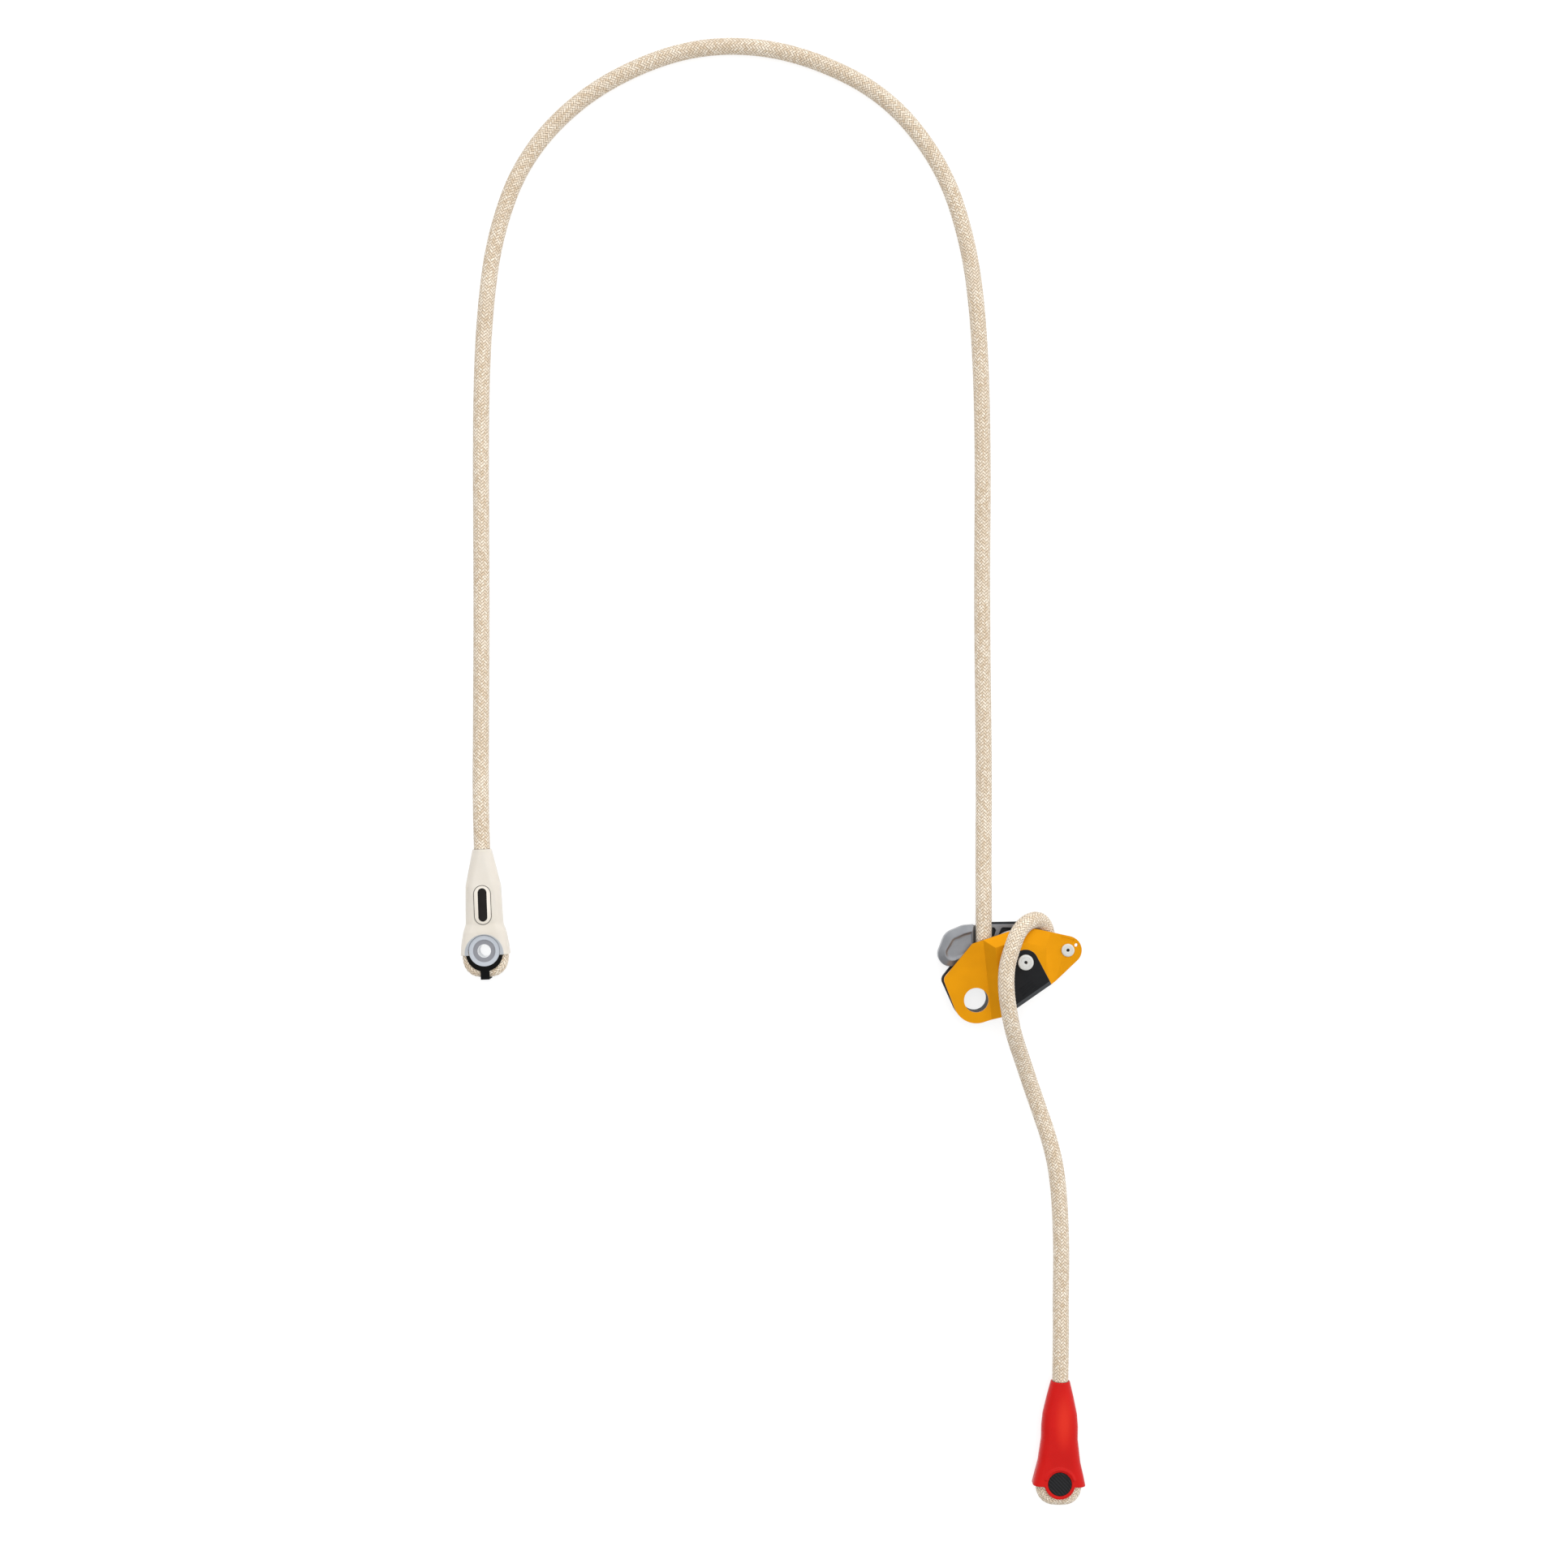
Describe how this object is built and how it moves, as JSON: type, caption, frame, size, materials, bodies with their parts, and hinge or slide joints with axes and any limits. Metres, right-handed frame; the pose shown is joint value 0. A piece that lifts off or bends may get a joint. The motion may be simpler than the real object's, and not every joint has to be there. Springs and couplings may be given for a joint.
{
  "type": "adjustable positioning lanyard",
  "caption": "Braided rope lanyard with a cam rope adjuster that has a gold front plate and a release lever, and sewn ends in a clear sleeve and a red sleeve.",
  "frame": {"origin": "centre of the adjuster's connector hole, on the rear plate's outer face, which lies on the surface", "axes": "+Z along the connector hole, out of the gold front plate; +X from the connector hole towards the adjuster's tip; the rope's main run leaves along +Y and its tail ends along -Y"},
  "size_m": [0.4349, 1.0232, 0.0495],
  "materials": {
    "gold_anodised_aluminium": "satin gold anodised",
    "black_anodised_aluminium": "satin black anodised",
    "black_moulded_plastic": "fine moulded grain",
    "zinc_plated_steel": "bright zinc plated",
    "stainless_steel": "satin turned",
    "sintered_bronze": "satin",
    "grey_cast_aluminium": "bead blasted casting",
    "spring_steel": "drawn wire",
    "braided_polyamide_rope": "herringbone braid",
    "translucent_moulded_plastic": "frosted, translucent",
    "sewing_thread": "bonded thread",
    "blank_label_film": "blank printed film",
    "grey_moulded_plastic": "smooth moulded",
    "black_moulded_rubber": "smooth moulded",
    "red_moulded_plastic": "smooth moulded"
  },
  "bodies": {
    "frame": {"front_plate": "gold_anodised_aluminium", "rear_plate": "black_anodised_aluminium", "cam_guard": "black_moulded_plastic", "connector_bushing": "black_moulded_plastic", "cam_axle": "zinc_plated_steel", "tip_rivet": "zinc_plated_steel", "rope_anvil": "stainless_steel", "return_spring": "spring_steel", "spring_anchor_pin": "stainless_steel", "axle_spacer": "stainless_steel", "rope_in_adjuster": "braided_polyamide_rope", "rope_main_run": "braided_polyamide_rope", "rope_tail": "braided_polyamide_rope", "clear_sleeve": "translucent_moulded_plastic", "clear_end_rope_eye": "braided_polyamide_rope", "clear_end_stitching": "sewing_thread", "clear_end_label": "blank_label_film", "keeper_ring": "grey_moulded_plastic", "thimble": "black_moulded_rubber", "red_sleeve": "red_moulded_plastic", "red_end_rope_eye": "braided_polyamide_rope", "red_end_stitching": "sewing_thread", "eye_plug": "black_moulded_plastic"},
    "lever": {"release_lever": "grey_cast_aluminium", "drive_pin": "stainless_steel"},
    "cam": {"cam": "stainless_steel", "cam_bushing": "sintered_bronze", "spring_post": "stainless_steel"}
  },
  "joints": [
    {"name": "lever_hinge", "type": "hinge", "parent": "frame", "child": "lever", "pos_m": [0.0335, 0.0266, 0.0048], "axis": [0, 0, 1], "range_deg": [0, 18]},
    {"name": "cam_hinge", "type": "hinge", "parent": "frame", "child": "cam", "pos_m": [0.0335, 0.0266, 0.0123], "axis": [0, 0, 1], "range_deg": [0, 18], "stiffness_Nm_per_rad": 0.08, "springref_deg": -20.05, "deforming": ["return_spring"]}
  ],
  "couplings": [
    {"joint": "cam_hinge", "follows": "lever_hinge", "ratio": 1}
  ]
}
